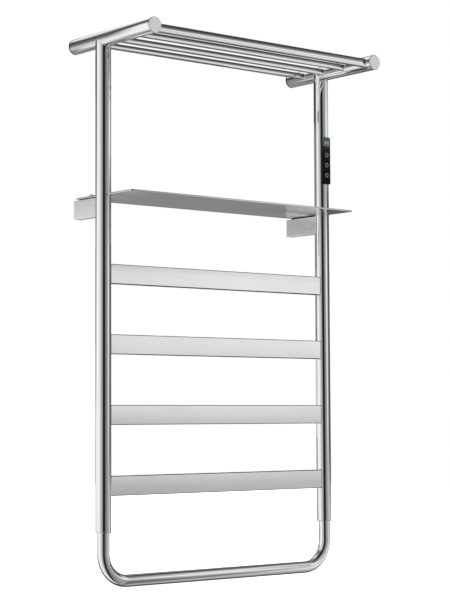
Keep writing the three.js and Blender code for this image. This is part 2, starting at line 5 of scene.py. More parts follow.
import bmesh
import bpy
from mathutils import Matrix, Vector


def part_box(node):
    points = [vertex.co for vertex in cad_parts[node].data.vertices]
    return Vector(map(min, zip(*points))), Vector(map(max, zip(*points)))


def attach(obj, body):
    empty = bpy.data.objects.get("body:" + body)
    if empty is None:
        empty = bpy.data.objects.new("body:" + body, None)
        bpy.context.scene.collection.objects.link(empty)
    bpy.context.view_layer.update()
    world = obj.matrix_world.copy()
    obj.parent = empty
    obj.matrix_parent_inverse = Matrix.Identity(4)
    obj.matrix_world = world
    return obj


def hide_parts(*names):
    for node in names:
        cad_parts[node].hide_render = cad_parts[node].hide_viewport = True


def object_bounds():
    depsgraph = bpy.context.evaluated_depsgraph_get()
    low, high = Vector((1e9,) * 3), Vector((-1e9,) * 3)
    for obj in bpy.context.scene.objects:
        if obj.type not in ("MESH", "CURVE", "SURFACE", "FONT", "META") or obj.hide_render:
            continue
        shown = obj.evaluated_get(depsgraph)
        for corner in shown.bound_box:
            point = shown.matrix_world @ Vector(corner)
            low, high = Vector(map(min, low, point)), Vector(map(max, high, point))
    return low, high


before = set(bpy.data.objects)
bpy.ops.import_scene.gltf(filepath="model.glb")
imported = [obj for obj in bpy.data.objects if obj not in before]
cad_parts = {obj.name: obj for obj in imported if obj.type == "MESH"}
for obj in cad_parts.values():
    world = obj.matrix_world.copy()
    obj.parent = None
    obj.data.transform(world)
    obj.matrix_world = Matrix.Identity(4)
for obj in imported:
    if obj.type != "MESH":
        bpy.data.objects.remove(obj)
cad_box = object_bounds()

MM = 0.001
ROUND = 128

# Camera

HEADING = math.radians(39.468)
PITCH = math.radians(3.789)
ROLL = math.radians(-0.267)
CAMERA_PLACE = Vector((-2.0677, -2.6184, -0.3725))
LENS = 106.245

ahead = Vector((
    math.sin(HEADING) * math.cos(PITCH),
    math.cos(HEADING) * math.cos(PITCH),
    math.sin(PITCH),
))
level = Vector((math.cos(HEADING), -math.sin(HEADING), 0))
upright_axis = level.cross(ahead)
right = level * math.cos(ROLL) + upright_axis * math.sin(ROLL)
up = upright_axis * math.cos(ROLL) - level * math.sin(ROLL)

camera_data = bpy.data.cameras.new("camera")
camera_data.lens = LENS
camera_data.sensor_width = 36
camera_data.sensor_fit = "AUTO"
camera_data.clip_start = 0.05
camera_data.clip_end = 50
camera = bpy.data.objects.new("camera", camera_data)
bpy.context.scene.collection.objects.link(camera)
camera.matrix_world = Matrix((
    (right.x, up.x, -ahead.x, CAMERA_PLACE.x),
    (right.y, up.y, -ahead.y, CAMERA_PLACE.y),
    (right.z, up.z, -ahead.z, CAMERA_PLACE.z),
    (0, 0, 0, 1),
))
bpy.context.scene.camera = camera

# Material helpers


class Graph:
    """A principled material and short ways to add nodes to it."""

    def __init__(self, name, **shader):
        self.material = bpy.data.materials.new(name)
        self.material.use_nodes = True
        self.tree = self.material.node_tree
        self.shader = self.tree.nodes["Principled BSDF"]
        for socket, value in shader.items():
            self.shader.inputs[socket.replace("_", " ")].default_value = value
        self.place = self.add("ShaderNodeTexCoord").outputs["Object"]

    def add(self, kind, **settings):
        node = self.tree.nodes.new(kind)
        for key, value in settings.items():
            setattr(node, key, value)
        return node

    def link(self, source, node, socket):
        self.tree.links.new(source, node.inputs[socket])

    def stretched(self, scale, turn=(0, 0, 0)):
        node = self.add("ShaderNodeMapping")
        node.inputs["Scale"].default_value = scale
        node.inputs["Rotation"].default_value = turn
        self.link(self.place, node, "Vector")
        return node.outputs["Vector"]

    def noise(self, scale, detail=4.0, roughness=0.55, vector=None):
        node = self.add("ShaderNodeTexNoise")
        node.inputs["Scale"].default_value = scale
        node.inputs["Detail"].default_value = detail
        node.inputs["Roughness"].default_value = roughness
        self.link(vector or self.place, node, "Vector")
        return node.outputs["Fac"]

    def cells(self, scale, vector=None, feature="F1"):
        node = self.add("ShaderNodeTexVoronoi", feature=feature)
        node.inputs["Scale"].default_value = scale
        self.link(vector or self.place, node, "Vector")
        return node.outputs["Distance"]

    def spread(self, source, low, high, start=0.3, end=0.7):
        node = self.add("ShaderNodeMapRange")
        node.inputs["From Min"].default_value = start
        node.inputs["From Max"].default_value = end
        node.inputs["To Min"].default_value = low
        node.inputs["To Max"].default_value = high
        self.link(source, node, "Value")
        return node.outputs["Result"]

    def math(self, operation, first, second):
        node = self.add("ShaderNodeMath", operation=operation)
        for index, value in enumerate((first, second)):
            if isinstance(value, (int, float)):
                node.inputs[index].default_value = value
            else:
                self.tree.links.new(value, node.inputs[index])
        return node.outputs[0]

    def colours(self, source, *stops):
        node = self.add("ShaderNodeValToRGB")
        ramp = node.color_ramp
        while len(ramp.elements) < len(stops):
            ramp.elements.new(0.5)
        for element, (position, colour) in zip(ramp.elements, stops):
            element.position = position
            element.color = (*colour, 1)
        self.link(source, node, "Fac")
        return node.outputs["Color"]

    def rise(self, low, high):
        """0 to 1 from one height to another."""
        separate = self.add("ShaderNodeSeparateXYZ")
        self.link(self.place, separate, "Vector")
        return self.spread(separate.outputs["Z"], 0, 1, low, high)

    def edges(self, start=0.5, end=0.6):
        pointiness = self.add("ShaderNodeNewGeometry").outputs["Pointiness"]
        return self.spread(pointiness, 0, 1, start, end)

    def bump(self, height, distance, strength=1.0, below=None):
        node = self.add("ShaderNodeBump")
        node.inputs["Distance"].default_value = distance
        node.inputs["Strength"].default_value = strength
        self.link(height, node, "Height")
        if below is not None:
            self.link(below, node, "Normal")
        return node.outputs["Normal"]

    def give(self, socket, source):
        self.link(source, self.shader, socket)
        return self


def grey(level):
    return (level, level, level)


def tinted(level, red=0.0, blue=0.0):
    return (level + red, level, level + blue)


# Materials


def polished_steel(name, along):
    """Mirror-polished stainless steel. Faint buffing lines run along the given axis."""
    g = Graph(name, Metallic=1.0)
    lines = g.noise(1, 3, 0.5, g.stretched([6 if axis == along else 900 for axis in "xyz"]))
    haze = g.noise(9, 5, 0.6)
    spots = g.noise(160, 2, 0.5)
    wear = g.edges(0.52, 0.62)
    rough = g.math("ADD", g.spread(haze, 0.018, 0.045), g.spread(lines, 0.0, 0.018))
    rough = g.math("ADD", rough, g.spread(spots, 0.0, 0.02, 0.6, 0.8))
    rough = g.math("ADD", rough, g.math("MULTIPLY", wear, 0.05))
    g.give("Roughness", rough)
    dull, bright = tinted(0.86, -0.006, 0.01), tinted(0.9, -0.004, 0.006)
    g.give("Base Color", g.colours(haze, (0.25, dull), (0.75, bright)))
    g.give("Normal", g.bump(lines, 0.0000015, 0.35))
    return g.material


def satin_steel(name, along, base, rough, grain=1400, metallic=1.0):
    """Brushed stainless steel with its grain along the given axis. Less metallic looks whiter."""
    g = Graph(name, Metallic=metallic)
    grain_at = g.stretched([12 if axis == along else grain for axis in "xyz"])
    lines = g.noise(1, 4, 0.6, grain_at)
    wide = g.noise(1, 2, 0.5, g.stretched([3 if axis == along else 120 for axis in "xyz"]))
    haze = g.noise(7, 4, 0.6)
    tone = g.math("ADD", g.math("MULTIPLY", lines, 0.6), g.math("MULTIPLY", wide, 0.4))
    dull, bright = tinted(base - 0.05, -0.006, 0.008), tinted(base + 0.03, -0.004, 0.006)
    g.give("Base Color", g.colours(tone, (0.3, dull), (0.7, bright)))
    roughness = g.math("ADD", g.spread(lines, *rough), g.spread(haze, -0.02, 0.03))
    roughness = g.math("SUBTRACT", roughness, g.math("MULTIPLY", g.edges(0.52, 0.6), 0.1))
    g.give("Roughness", roughness)
    g.give("Normal", g.bump(lines, 0.000012, 0.5))
    return g.material


def zinc_plated():
    """Zinc-plated steel with a faint spangle."""
    g = Graph("zinc_plated", Metallic=1.0)
    spangle = g.cells(420)
    haze = g.noise(60, 4, 0.6)
    g.give("Base Color", g.colours(haze, (0.3, (0.5, 0.51, 0.52)), (0.7, (0.68, 0.68, 0.65))))
    g.give("Roughness", g.math("ADD", g.spread(haze, 0.3, 0.42), g.spread(spangle, 0.0, 0.08, 0.1, 0.7)))
    g.give("Normal", g.bump(haze, 0.00002, 0.4))
    return g.material


def black_gloss(name, level, painted_glow_from=None):
    """Black acrylic with faint dust and hairlines. Above painted_glow_from its colour carries painted light, a
    glow of the display shining through it.
    """
    g = Graph(name, IOR=1.33, Specular_IOR_Level=0.22)
    dust = g.noise(900, 2, 0.5)
    hair = g.noise(1, 2, 0.5, g.stretched((900, 900, 25), (0, 0.12, 0)))
    haze = g.noise(70, 3, 0.5)
    colour = g.colours(dust, (0.62, tinted(level, 0, 0.001)), (0.8, tinted(level * 4, 0, 0.002)))
    # painted light: above this height a blue-grey glow of the display is added to the base colour, growing
    # towards the top
    if painted_glow_from:
        reach = g.rise(painted_glow_from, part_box("control_fascia")[1].z)
        painted_glow = g.colours(reach, (0.0, (0, 0, 0)), (0.4, grey(0.012)), (0.62, (0.07, 0.09, 0.11)),
                        (1.0, (0.11, 0.135, 0.155)))
        mix = g.add("ShaderNodeMix", data_type="RGBA", blend_type="ADD")
        mix.inputs["Factor"].default_value = 1.0
        g.tree.links.new(colour, mix.inputs[6])
        g.tree.links.new(painted_glow, mix.inputs[7])
        colour = mix.outputs[2]
    g.give("Base Color", colour)
    rough = g.math("ADD", g.spread(haze, 0.05, 0.1), g.spread(hair, 0.0, 0.06, 0.55, 0.75))
    g.give("Roughness", g.math("ADD", rough, g.math("MULTIPLY", g.edges(0.52, 0.62), 0.12)))
    g.give("Normal", g.bump(haze, 0.000004, 0.4))
    return g.material


def smoked_lens():
    """Smoked window: dark blue-grey, its own tone with a random haze, and painted light in its colour that
    makes it lighter towards its top, as a glow of the display shining through.
    """
    g = Graph("smoked_lens", IOR=1.36)
    low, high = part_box("display_window")
    haze = g.noise(240, 3, 0.5)
    # painted light: the height ramp lightens the colour towards the top as a glow of the display; the haze is
    # random tone
    painted_glow_and_haze = g.math("ADD", g.rise(low.z, high.z), g.spread(haze, -0.04, 0.04))
    g.give("Base Color", g.colours(
        painted_glow_and_haze, (0.0, (0.012, 0.016, 0.02)), (0.35, (0.03, 0.042, 0.055)), (0.75, (0.1, 0.13, 0.165)),
        (1.0, (0.14, 0.165, 0.19))))
    g.give("Roughness", g.spread(haze, 0.05, 0.12))
    g.give("Normal", g.bump(haze, 0.000003, 0.3))
    return g.material


def moulded(name, level, rough, scale, depth, tint=0.0):
    """Moulded plastic or rubber with a fine eroded texture."""
    g = Graph(name, IOR=1.5)
    pits = g.cells(scale)
    wide = g.noise(45, 4, 0.6)
    g.give("Base Color", g.colours(wide, (0.3, tinted(level, 0, tint)), (0.7, tinted(level * 1.7, 0, tint))))
    worn = g.math("MULTIPLY", g.edges(), -0.1)
    g.give("Roughness", g.math("ADD", g.spread(wide, rough - 0.06, rough + 0.06), worn))
    g.give("Normal", g.bump(pits, depth, 0.5))
    return g.material


def board_green():
    """Solder mask over copper traces."""
    g = Graph("board_green", IOR=1.5, Coat_Weight=0.3, Coat_Roughness=0.2)
    traces = g.add("ShaderNodeTexBrick")
    traces.inputs["Scale"].default_value = 420
    traces.inputs["Mortar Size"].default_value = 0.025
    traces.inputs["Color1"].default_value = (0.2, 0.2, 0.2, 1)
    traces.inputs["Color2"].default_value = (0.5, 0.5, 0.5, 1)
    traces.inputs["Mortar"].default_value = (1, 1, 1, 1)
    g.link(g.stretched((1, 1, 1), (math.pi / 2, 0, 0)), traces, "Vector")
    g.give("Base Color", g.colours(
        traces.outputs["Color"],
        (0.0, (0.008, 0.09, 0.035)), (0.6, (0.012, 0.12, 0.05)), (1.0, (0.03, 0.22, 0.09))))
    g.give("Roughness", g.spread(g.noise(300), 0.35, 0.5))
    g.give("Normal", g.bump(traces.outputs["Fac"], 0.00003, 0.6))
    return g.material


def glowing_print(name, colour, strength):
    """Marks that glow a little, with a fine grain."""
    g = Graph(name, IOR=1.45, Emission_Strength=strength)
    grain = g.noise(2500, 2, 0.5)
    shade = {share: tuple(share * c for c in colour) for share in (0.4, 0.5, 0.86)}
    g.give("Base Color", g.colours(grain, (0.3, shade[0.4]), (0.7, shade[0.5])))
    g.give("Emission Color", g.colours(grain, (0.3, shade[0.86]), (0.7, colour)))
    g.give("Roughness", g.spread(grain, 0.25, 0.35))
    return g.material


steel_x = polished_steel("polished_steel_x", "x")
steel_y = polished_steel("polished_steel_y", "y")
steel_z = polished_steel("polished_steel_z", "z")
rung_steel = satin_steel("satin_steel_rung", "x", 0.9, (0.17, 0.24))
# the rung steel at a tenth of its brightness: painted shade for the rungs' rounded edges and narrow faces
rung_painted_shade_steel = satin_steel("satin_steel_rung_painted_shade", "x", 0.09, (0.17, 0.24))
bracket_steel = satin_steel("satin_steel_bracket", "y", 0.92, (0.15, 0.22), metallic=0.55)
shelf_steel = satin_steel("shelf_steel", "x", 0.76, (0.16, 0.22))
cap_steel = satin_steel("satin_steel_cap", "x", 0.95, (0.4, 0.5), 2200, metallic=0.2)
zinc = zinc_plated()
# the fascia's colour holds a painted glow of the display above this height
gloss = black_gloss("black_gloss", 0.003, painted_glow_from=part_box("control_fascia")[1].z - 34 * MM)
key_gloss = black_gloss("key_gloss", 0.005)
lens = smoked_lens()
rubber = moulded("black_rubber", 0.011, 0.72, 900, 0.00004)
plastic = moulded("black_plastic", 0.012, 0.42, 1800, 0.00002)
silicone = moulded("pale_silicone", 0.5, 0.55, 700, 0.00003, -0.05)
relay_case = moulded("relay_blue", 0.04, 0.38, 1500, 0.00002, 0.16)
board = board_green()
digit_glow = glowing_print("display_digits", (0.5, 0.68, 0.86), 0.9)
ring_print = glowing_print("key_ring_print", (0.36, 0.42, 0.46), 0.34)

# Mesh helpers


def make(name, mesh_parts, material, replaces=(), body="rack", cutters=(), mirror=False):
    """One piece from (vertices, faces) lists. Each cutter is a closed solid that is taken out of it."""
    piece = bpy.data.objects.new(name, mesh_of(name, mesh_parts, clean=True))
    bpy.context.scene.collection.objects.link(piece)
    for index, cutter in enumerate(cutters):
        take_out(piece, cutter, index)
    if mirror:
        piece.data.transform(Matrix.Diagonal((-1, 1, 1, 1)))
        piece.data.flip_normals()
    piece.data.name = name
    piece.data.shade_smooth()
    piece.data.set_sharp_from_angle(angle=math.radians(34))
    piece.data.materials.clear()
    piece.data.materials.append(material)
    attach(piece, body)
    if replaces:
        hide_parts(*replaces)
    return piece


def mesh_of(name, parts, clean):
    """A mesh whose faces look outward. clean also removes edges and faces of no size."""
    shape = bmesh.new()
    for vertices, faces in parts:
        own = [shape.verts.new(v) for v in vertices]
        for face in faces:
            shape.faces.new([own[i] for i in face])
    bmesh.ops.remove_doubles(shape, verts=shape.verts, dist=1e-7)
    if clean:
        bmesh.ops.dissolve_degenerate(shape, edges=shape.edges, dist=1e-7)
    bmesh.ops.recalc_face_normals(shape, faces=shape.faces)
    if shape.calc_volume(signed=True) < 0:
        bmesh.ops.reverse_faces(shape, faces=shape.faces)
    mesh = bpy.data.meshes.new(name)
    shape.to_mesh(mesh)
    shape.free()
    return mesh


def volume(mesh):
    shape = bmesh.new()
    shape.from_mesh(mesh)
    amount = shape.calc_volume(signed=True)
    shape.free()
    return amount


def take_out(piece, cutter, index):
    """Cuts a solid out of a piece, and stops the script if what is left isn't a smaller solid."""
    mesh = mesh_of("cutter", [cutter], clean=False)
    tool = bpy.data.objects.new(f"cutter_{index}", mesh)
    bpy.context.scene.collection.objects.link(tool)
    modifier = piece.modifiers.new("cut", "BOOLEAN")
    modifier.operation = "DIFFERENCE"
    modifier.solver = "EXACT"
    modifier.object = tool
    graph = bpy.context.evaluated_depsgraph_get()
    made = bpy.data.meshes.new_from_object(piece.evaluated_get(graph))
    piece.modifiers.remove(modifier)
    if not 0 < volume(made) < volume(piece.data):
        raise SystemExit(f"cut {index} of {piece.name} failed")
    old = piece.data
    piece.data = made
    bpy.data.meshes.remove(old)
    bpy.data.objects.remove(tool)
    bpy.data.meshes.remove(mesh)


def second_material(piece, material, chosen):
    """Gives another material to the faces whose normal is chosen."""
    piece.data.materials.append(material)
    for face in piece.data.polygons:
        if chosen(face.normal):
            face.material_index = 1


def loft(rings, closed=False, capped=False):
    """Faces between equal rings of points, round and round."""
    count = len(rings[0])
    vertices = [point for ring in rings for point in ring]
    faces = []
    for i in range(len(rings) if closed else len(rings) - 1):
        a, b = i * count, (i + 1) % len(rings) * count
        for j in range(count):
            k = (j + 1) % count
            faces.append((a + j, a + k, b + k, b + j))
    if capped:
        last = (len(rings) - 1) * count
        faces.append(tuple(reversed(range(count))))
        faces.append(tuple(last + j for j in range(count)))
    return vertices, faces


def fillet(points, radius, steps=5, closed=True):
    """A polyline in the plane with its corners rounded. radius is one number or one per corner."""
    made = []
    count = len(points)
    radii = radius if isinstance(radius, (list, tuple)) else [radius] * count
    for i, (x, y) in enumerate(points):
        corner = Vector((x, y))
        if radii[i] <= 0 or (not closed and i in (0, count - 1)):
            made.append((x, y))
            continue
        before = (Vector(points[i - 1]) - corner).normalized()
        after = (Vector(points[(i + 1) % count]) - corner).normalized()
        half = before.angle(after) / 2
        centre = corner + (before + after).normalized() * radii[i] / math.sin(half)
        start = corner + before * radii[i] / math.tan(half) - centre
        end = corner + after * radii[i] / math.tan(half) - centre
        turn = start.angle(end)
        for step in range(steps + 1):
            t = step / steps
            arm = (start * math.sin((1 - t) * turn) + end * math.sin(t * turn)) / math.sin(turn)
            made.append(tuple(centre + arm))
    return made


def circle(radius, count=ROUND):
    return [
        (radius * math.cos(2 * math.pi * i / count), radius * math.sin(2 * math.pi * i / count))
        for i in range(count)
    ]


def turned(profile, place, count=ROUND, axis="y"):
    """A profile of (radius, height) pairs turned about an axis through place."""
    place = Vector(place)
    turn = {"y": along_y, "z": along_z}[axis]
    rings = [[place + turn(u, v, height) for u, v in circle(radius, count)] for radius, height in profile]
    return loft(rings, closed=profile[0][0] > 0)


def drill(radius, low, high, turn, x=0.0, y=0.0, z=0.0, count=40):
    """A round cutter from low to high along one axis, moved to a place."""
    return moved(prism(circle(radius, count), low, high, turn), x, y, z)


def prism(outline, low, high, turn):
    """A plain closed prism on an outline. turn makes a 3-D point of (u, v, height)."""
    return loft([[turn(u, v, low) for u, v in outline], [turn(u, v, high) for u, v in outline]], capped=True)


def along_x(u, v, w):
    return Vector((w, u, v))


def along_y(u, v, w):
    return Vector((u, w, v))


def along_z(u, v, w):
    return Vector((u, v, w))


def moved(part, x=0.0, y=0.0, z=0.0):
    vertices, faces = part
    shift = Vector((x, y, z))
    return [Vector(v) + shift for v in vertices], faces


def rounded_box(width, height, radius, steps=6):
    w, h = width / 2, height / 2
    return fillet([(w, -h), (w, h), (-w, h), (-w, -h)], radius, steps)


def soft_prism(outline, low, high, edge, turn, steps=4):
    """A prism whose two rims are rounded. outline is a function of the inset and gives a ring of points."""
    rings = []
    for step in range(steps + 1):
        angle = math.pi / 2 * step / steps
        rings.append((edge * (1 - math.sin(angle)), low + edge * (1 - math.cos(angle))))
    for step in range(steps + 1):
        angle = math.pi / 2 * (1 - step / steps)
        rings.append((edge * (1 - math.sin(angle)), high - edge * (1 - math.cos(angle))))
    return loft([[turn(u, v, w) for u, v in outline(inset)] for inset, w in rings], capped=True)


def rounded_plate(size, radius, span, edge, turn, corner_steps=6, edge_steps=4):
    """A rectangular plate with round corners of that radius and round rims of edge, over a span of height."""
    def outline(inset):
        return rounded_box(size[0] - 2 * inset, size[1] - 2 * inset, radius - inset, corner_steps)
    return soft_prism(outline, *span, edge, turn, edge_steps)


def shell(outline, wall, low, high, turn, weld=(0.0, 0.0), steps=6, rim=0.0):
    """A hollow member. outline(offset) is its section, and low and high give its ends from (u, v).
    Each end flares out by its weld, as a fillet, or else has a small round of rim."""
    def ring(offset, place, at):
        return [turn(u, v, at(u, v) + place) for u, v in outline(offset)]

    def end(at, size, sign):
        if size <= 0 and rim <= 0:
            return [ring(0.0, 0.0, at)]
        rings = []
        for step in range(steps + 1):
            angle = math.pi / 2 * step / steps
            if size > 0:
                rings.append(ring(size * (1 - math.sin(angle)), sign * size * (1 - math.cos(angle)), at))
            else:
                rings.append(ring(-rim * (1 - math.sin(angle)), sign * rim * (1 - math.cos(angle)), at))
        return rings

    rings = end(low, weld[0], 1)
    rings += reversed(end(high, weld[1], -1))
    rings.append(ring(-wall, 0.0, high))
    rings.append(ring(-wall, 0.0, low))
    return loft(rings, closed=True)


def flat(value):
    return lambda u, v: value


def tube_outline(radius, count=ROUND):
    return lambda offset: circle(radius + offset, count)


def box_outline(width, height, radius, steps=6):
    def outline(offset):
        return rounded_box(width + 2 * offset, height + 2 * offset, max(radius + offset, 0.15 * MM), steps)
    return outline


def sweep(stations, radius, count, closed=False, wall=0.0):
    """A round tube along points that lie in one plane or nearly so."""
    rings = []
    total = len(stations)
    side = None
    for i, point in enumerate(stations):
        before = stations[i - 1] if closed or i > 0 else point
        after = stations[(i + 1) % total] if closed or i < total - 1 else point
        forward = (after - before).normalized()
        if side is None:
            side = forward.orthogonal().normalized()
        side = (side - forward * side.dot(forward)).normalized()
        other = forward.cross(side)
        size = radius(i) if callable(radius) else radius
        rings.append([point + side * u + other * v for u, v in circle(size, count)])
    if wall:
        rings += [
            [stations[i] + (p - stations[i]) * (1 - wall / radius) for p in rings[i]]
            for i in reversed(range(total))
        ]
        return loft(rings, closed=True)
    return loft(rings, closed=closed, capped=not closed)


def hexagon(across):
    return circle(across / math.sqrt(3), 6)


def grub(length, edge, tip):
    """Half section of an M4 grub screw, from its socket end: its mouth's rounding and its tip's radius."""
    mouth = fillet([(1.2 * MM, 0), (2 * MM, 0), (2 * MM, length)], edge, 3, closed=False)
    return [(0, 0), *mouth, (tip, length), (0, length)]


# Sizes read from the frame

SIDES = (("left", -1), ("right", 1))

bar_low, bar_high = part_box("left_side_bar")
BAR_RADIUS = (bar_high.x - bar_low.x) / 2
TOP = (bar_high.z + bar_low.z) / 2
BAR_WALL = 1.5 * MM

upright_low, upright_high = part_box("left_upright")
UPRIGHT_RADIUS = (upright_high.x - upright_low.x) / 2
UPRIGHT_X = -(upright_high.x + upright_low.x) / 2
UPRIGHT_Y = (upright_high.y + upright_low.y) / 2
UPRIGHT_END = upright_low.z
TUBE_WALL = 1.2 * MM
CUT_EDGE = 0.25 * MM

bracket_low, bracket_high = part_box("right_bracket")
BRACKET_X = (bracket_low.x + bracket_high.x) / 2
BRACKET_WIDTH = bracket_high.x - bracket_low.x
BRACKET_TOP = bracket_high.z

collar_low, collar_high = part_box("left_rail_collar")
rail_low, rail_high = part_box("lower_rail")
RAIL_RADIUS = (rail_high.y - rail_low.y) / 2
RAIL_Z = rail_low.z + RAIL_RADIUS
LOCK_Z = sum(c.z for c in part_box("left_rail_lock_screw")) / 2


# Uprights


def saddle(offset, radius):
    """How far a cylinder of that radius lies from its axis, at an offset across it."""
    return math.sqrt(max(radius * radius - offset * offset, 0.0))


def upright_part(sign, slot_width=0.0, slot_low=0.0, slot_high=0.0):
    """A tube on a grid of columns and rows, so that a slot leaves the rest of it true."""
    step = 2 * math.pi / ROUND
    angles = [step * i for i in range(ROUND)]
    guard = math.radians(0.6)  # a narrow column beside the slot keeps its edge crisp
    gaps = ()
    if slot_width:
        half = math.asin(slot_width / 2 / UPRIGHT_RADIUS)
        front = -math.pi / 2 + 2 * math.pi
        gaps = (front - half, front + half)
        mid_gap = (gaps[0] + gaps[1]) / 2
        angles = [a for a in angles if not front - half - 1.5 * step < a < front + half + 1.5 * step]
        inside = [front - half + 2 * half * i / 24 for i in range(25)]
        angles = sorted(angles + inside + [front - half - guard, front + half + guard])
    rows = [LOCK_Z + offset * MM for offset in (-6, -3, 3, 6)]
    if slot_width:
        rows += [slot_low - 0.4 * MM, slot_low, slot_high, slot_high + 0.4 * MM]
    rows += [TOP - 22 * MM, None]  # None is the saddle under the side bar
    levels = [(-CUT_EDGE, UPRIGHT_END), (0.0, UPRIGHT_END + CUT_EDGE), *[(0.0, z) for z in rows]]
    centre = sign * UPRIGHT_X

    def point(angle, level_index, inner):
        offset, z = levels[level_index]
        radius = UPRIGHT_RADIUS - TUBE_WALL if inner else UPRIGHT_RADIUS + offset
        if inner and slot_width:
            half_gap = (gaps[1] - gaps[0]) / 2
            if abs(angle - mid_gap) <= half_gap + guard * 1.01:
                wide = math.asin(min(slot_width / 2 / radius, 0.999))
                angle = mid_gap + (angle - mid_gap) * wide / half_gap
        x, y = radius * math.cos(angle), radius * math.sin(angle)
        if z is None:
            z = TOP - saddle(x, BAR_RADIUS)
        return Vector((centre + x, UPRIGHT_Y + y, z))

    count = len(angles)
    vertices = []
    for inner in (False, True):
        for i in range(len(levels)):
            vertices += [point(a, i, inner) for a in angles]
    layer = len(levels) * count

    def open_cell(i, j):
        if not slot_width or i < 0 or i >= len(levels) - 1:
            return i < 0 or i >= len(levels) - 1
        middle = (angles[j % count] + angles[(j + 1) % count]) / 2
        z_low, z_high = levels[i][1], levels[i + 1][1]
        tiny = 1e-9
        inside_rows = z_high is not None and z_low >= slot_low - tiny and z_high <= slot_high + tiny
        return inside_rows and gaps[0] < middle < gaps[1] and j % count != count - 1

    faces = []
    for i in range(len(levels) - 1):
        for j in range(count):
            if open_cell(i, j):
                continue
            k = (j + 1) % count
            a, b, c, d = i * count + j, i * count + k, (i + 1) * count + k, (i + 1) * count + j
            faces.append((a, b, c, d))
            faces.append((layer + d, layer + c, layer + b, layer + a))
            sides = ((a, b, i - 1, j), (b, c, i, j + 1), (c, d, i + 1, j), (d, a, i, j - 1))
            for near, far, row, column in sides:
                if open_cell(row, column % count):
                    faces.append((far, near, layer + near, layer + far))
    return vertices, faces


def bead(centre_x):
    """The weld round the top of an upright, where it meets the side bar. It fades out at the sides."""
    stations, sizes = [], []
    for i in range(ROUND):
        angle = 2 * math.pi * i / ROUND
        turn = abs(math.sin(angle))
        size = (0.12 + 0.75 * turn) * MM
        reach = UPRIGHT_RADIUS - size * (1 - turn)
        across = reach * math.cos(angle)
        drop = math.sqrt(saddle(min(abs(across), BAR_RADIUS), BAR_RADIUS) ** 2 + (1.5 * MM) ** 2)
        stations.append(Vector((centre_x + across, UPRIGHT_Y + reach * math.sin(angle), TOP - drop)))
        sizes.append(size)
    return sweep(stations, lambda i: sizes[i], 12, closed=True)


housing_low, housing_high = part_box("control_housing")
SLOT_GAP = 0.3 * MM
LOCK_HOLE = 2.2 * MM
for label, sign in SIDES:
    x = sign * UPRIGHT_X
    lock_hole = drill(LOCK_HOLE, 8 * MM, 20 * MM, along_y, x, UPRIGHT_Y, LOCK_Z)
    if sign > 0:
        part = upright_part(
            sign,
            housing_high.x - housing_low.x + 2 * SLOT_GAP,
            housing_low.z - SLOT_GAP,
            housing_high.z + SLOT_GAP,
        )
    else:
        part = upright_part(sign)
    make(f"{label}_upright_tube", [part], steel_z, [f"{label}_upright"],
         cutters=[lock_hole])
    make(f"{label}_upright_weld", [bead(x)], steel_z)

# Top rack: side bars, caps and rods

CAP_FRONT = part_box("left_front_cap")[0].y
CAP_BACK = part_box("left_wall_cap")[1].y
CAP_THICK = 3 * MM
PLUG = BAR_RADIUS - BAR_WALL - 0.4 * MM
PLUG_END = 15 * MM


def cap_profile(edge, dish):
    """From the middle of the outer face over the rim to the middle of the plug's inner end."""
    flat_end = BAR_RADIUS - edge - 0.6 * MM
    face = [(0, dish), (BAR_RADIUS * 0.5, dish * 0.6), (flat_end, 0)]
    rim = fillet([(flat_end, 0), (BAR_RADIUS, 0), (BAR_RADIUS, CAP_THICK)], edge, 8, closed=False)
    plug = [(PLUG, CAP_THICK), (PLUG, PLUG_END - 1 * MM), (PLUG - 1 * MM, PLUG_END), (0, PLUG_END)]
    return face + rim[1:] + plug


for label, sign in SIDES:
    x = sign * UPRIGHT_X
    section = tube_outline(BAR_RADIUS)
    bar = shell(section, BAR_WALL, flat(bar_low.y), flat(bar_high.y), along_y, rim=CUT_EDGE)
    make(f"{label}_side_bar_tube", [moved(bar, x, 0, TOP)], steel_y, [f"{label}_side_bar"])
    cap = turned(cap_profile(1.1 * MM, 0.05 * MM), (x, CAP_FRONT, TOP))
    disc = make(f"{label}_front_cap_disc", [cap], cap_steel, [f"{label}_front_cap"])
    second_material(disc, steel_y, lambda normal: normal.y >= -0.97)
    profile = [(radius, -height) for radius, height in cap_profile(0.8 * MM, 0.1 * MM)]
    make(f"{label}_wall_cap_bumper", [turned(profile, (x, CAP_BACK, TOP))], rubber,
         [f"{label}_wall_cap"])

ROD_WELD = 1.1 * MM
ROD_WALL = 1 * MM
for index in range(4):
    node = f"towel_rod_{index + 1}"
    low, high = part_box(node)
    y = (low.y + high.y) / 2
    rod = shell(
        tube_outline((high.z - low.z) / 2, 96),
        ROD_WALL,
        lambda u, v: -UPRIGHT_X + saddle(v, BAR_RADIUS),
        lambda u, v: UPRIGHT_X - saddle(v, BAR_RADIUS),
        along_x,
        weld=(ROD_WELD, ROD_WELD),
    )
    make(f"{node}_tube", [moved(rod, 0, y, TOP)], steel_x, [node])

# Rungs. Their rounded edges and narrow faces are darker, as their outlines are in the photograph: they take a
# dark copy of the rung steel, which is painted shade.

RUNG_WELD = 0.7 * MM
for index in range(4):
    node = f"rung_{index + 1}"
    low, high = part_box(node)
    rung = shell(
        box_outline(high.y - low.y, high.z - low.z, 1.5 * MM, 8),
        TUBE_WALL,
        lambda u, v: -UPRIGHT_X + saddle(u, UPRIGHT_RADIUS),
        lambda u, v: UPRIGHT_X - saddle(u, UPRIGHT_RADIUS),
        along_x,
        weld=(RUNG_WELD, RUNG_WELD),
    )
    middle = (low.z + high.z) / 2
    bar = make(f"{node}_bar", [moved(rung, 0, UPRIGHT_Y, middle)], rung_steel, [node])
    # painted shade: faces that look up, look down or round off the edges take the dark copy of the rung steel
    second_material(bar, rung_painted_shade_steel, lambda normal: abs(normal.z) > 0.2 and abs(normal.x) < 0.3)

# Lower rail, collars and lock screws

